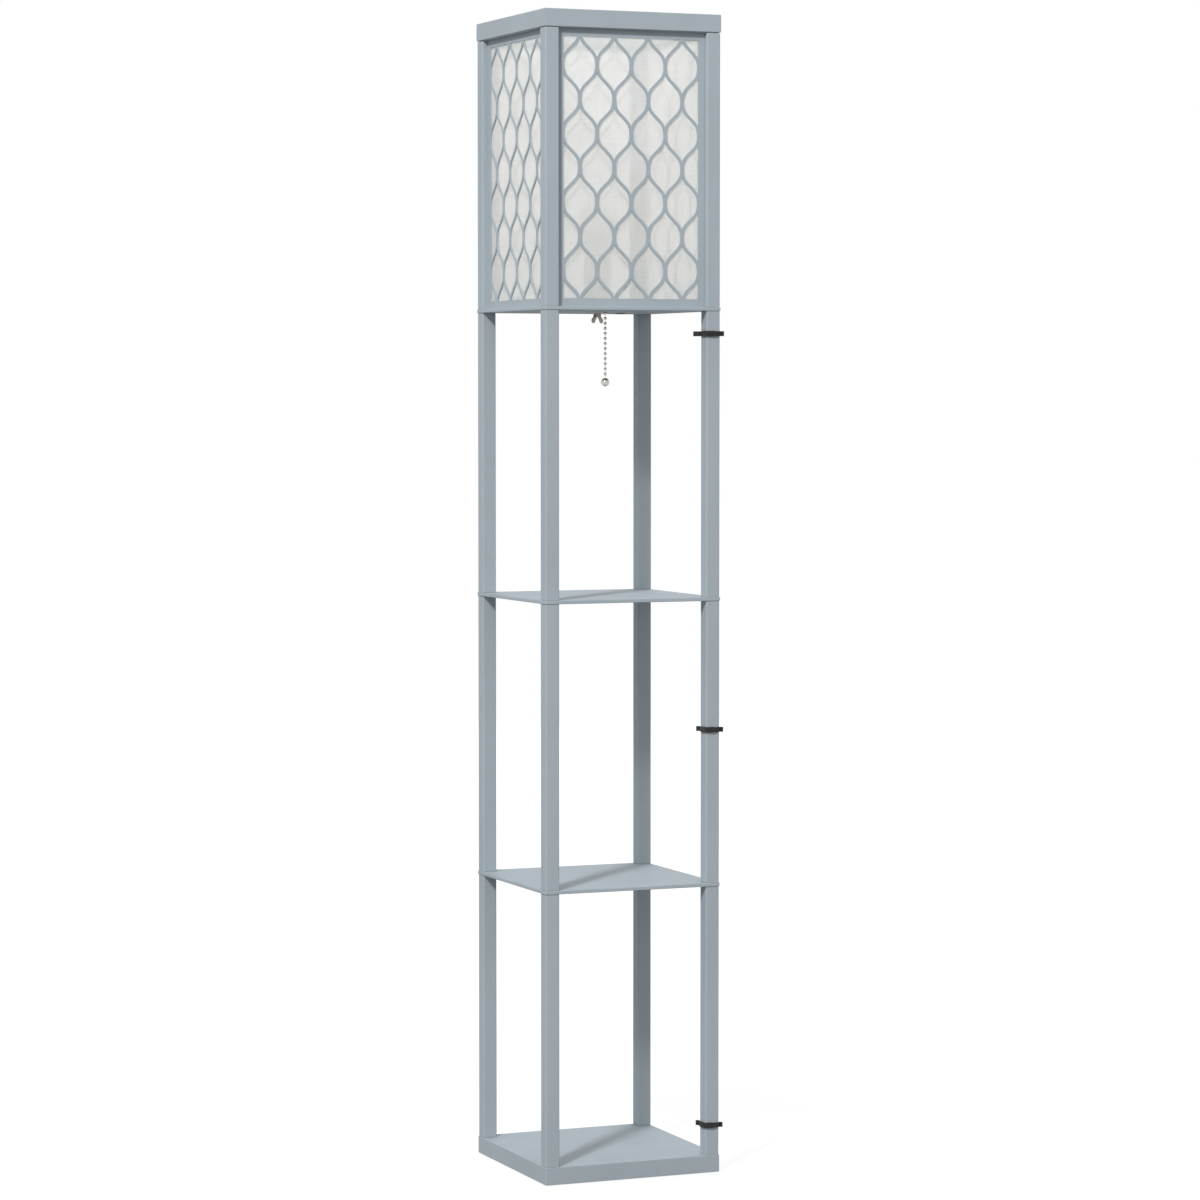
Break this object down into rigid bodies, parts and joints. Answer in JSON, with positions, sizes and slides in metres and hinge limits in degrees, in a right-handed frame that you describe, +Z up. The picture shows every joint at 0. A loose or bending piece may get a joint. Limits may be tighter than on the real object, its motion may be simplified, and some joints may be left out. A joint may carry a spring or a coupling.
{
  "type": "shelf floor lamp",
  "caption": "Square floor lamp on slim corner posts with a base, open shelves and a shade of ogee lattice panels over linen, switched by a pull chain.",
  "frame": {"origin": "middle of the underside of the base pad, on the floor", "axes": "+Z up, +X to the right seen from the front, -Y out of the front, where the pull chain hangs"},
  "size_m": [0.2644, 0.2624, 1.6],
  "materials": {
    "painted_wood": "satin light blue-grey paint",
    "shade_linen": "fine off-white woven linen",
    "foam_pad": "closed-cell foam",
    "zinc_steel": "zinc plated",
    "wing_nut_metal": "dull nickel plated",
    "beech_dowel": "bare beech",
    "socket_shell_nickel": "satin nickel plated",
    "socket_core_phenolic": "moulded phenolic",
    "contact_brass": "bright brass",
    "chain_nickel": "polished nickel plated",
    "bulb_base_nickel": "rolled bright aluminium",
    "bulb_frosted_glass": "inside-frosted",
    "clip_black_nylon": "moulded black nylon",
    "grommet_rubber": "matt black rubber"
  },
  "bodies": {
    "lamp": {"base_board": "painted_wood", "base_bolts": "zinc_steel", "base_pad": "foam_pad", "bracket_bolt": "zinc_steel", "bracket_washer": "zinc_steel", "bulb_base": "bulb_base_nickel", "bulb_globe": "bulb_frosted_glass", "cable_clips": "clip_black_nylon", "cap_dowels": "beech_dowel", "cap_rail_back": "painted_wood", "cap_rail_front": "painted_wood", "cap_rail_left": "painted_wood", "cap_rail_right": "painted_wood", "centre_contact": "contact_brass", "cord_grommet": "grommet_rubber", "fabric_back": "shade_linen", "fabric_front": "shade_linen", "fabric_left": "shade_linen", "fabric_right": "shade_linen", "lamp_plate": "painted_wood", "lattice_back": "painted_wood", "lattice_front": "painted_wood", "lattice_left": "painted_wood", "lattice_right": "painted_wood", "lower_shelf": "painted_wood", "nipple_nuts": "zinc_steel", "post_lower_back_left": "painted_wood", "post_lower_back_right": "painted_wood", "post_lower_front_left": "painted_wood", "post_lower_front_right": "painted_wood", "post_middle_back_left": "painted_wood", "post_middle_back_right": "painted_wood", "post_middle_front_left": "painted_wood", "post_middle_front_right": "painted_wood", "post_shade_back_left": "painted_wood", "post_shade_back_right": "painted_wood", "post_shade_front_left": "painted_wood", "post_shade_front_right": "painted_wood", "post_upper_back_left": "painted_wood", "post_upper_back_right": "painted_wood", "post_upper_front_left": "painted_wood", "post_upper_front_right": "painted_wood", "screw_shell": "contact_brass", "shelf_studs": "zinc_steel", "socket_bracket": "zinc_steel", "socket_cap": "socket_shell_nickel", "socket_core": "socket_core_phenolic", "socket_nipple": "zinc_steel", "socket_shell": "socket_shell_nickel", "switch_pin": "zinc_steel", "upper_shelf": "painted_wood", "wing_nut": "wing_nut_metal"},
    "chain_pull": {"chain_beads_upper": "chain_nickel", "chain_links_upper": "chain_nickel"},
    "chain_link": {"chain_link_swing": "chain_nickel"},
    "chain_drop": {"chain_beads_lower": "chain_nickel", "chain_links_lower": "chain_nickel", "chain_ball": "chain_nickel"},
    "lever": {"switch_lever": "zinc_steel"}
  },
  "joints": [
    {"name": "chain_slide", "type": "slide", "parent": "lamp", "child": "chain_pull", "axis": [0, 0, 1], "range_m": [-0.008, 0], "stiffness_N_per_m": 400, "springref_m": 0.01},
    {"name": "lever_turn", "type": "hinge", "parent": "lamp", "child": "lever", "pos_m": [0, -0.00697, 1.2272], "axis": [1, 0, 0], "range_deg": [0, 21]},
    {"name": "chain_swing_back", "type": "hinge", "parent": "chain_pull", "child": "chain_link", "pos_m": [0, -0.0286, 1.19146], "axis": [1, 0, 0], "range_deg": [-25, 25]},
    {"name": "chain_swing_side", "type": "hinge", "parent": "chain_link", "child": "chain_drop", "pos_m": [0, -0.0286, 1.18694], "axis": [0, 1, 0], "range_deg": [-25, 25]}
  ],
  "couplings": [
    {"joint": "lever_turn", "follows": "chain_slide", "rad_per_m": -45.455}
  ]
}
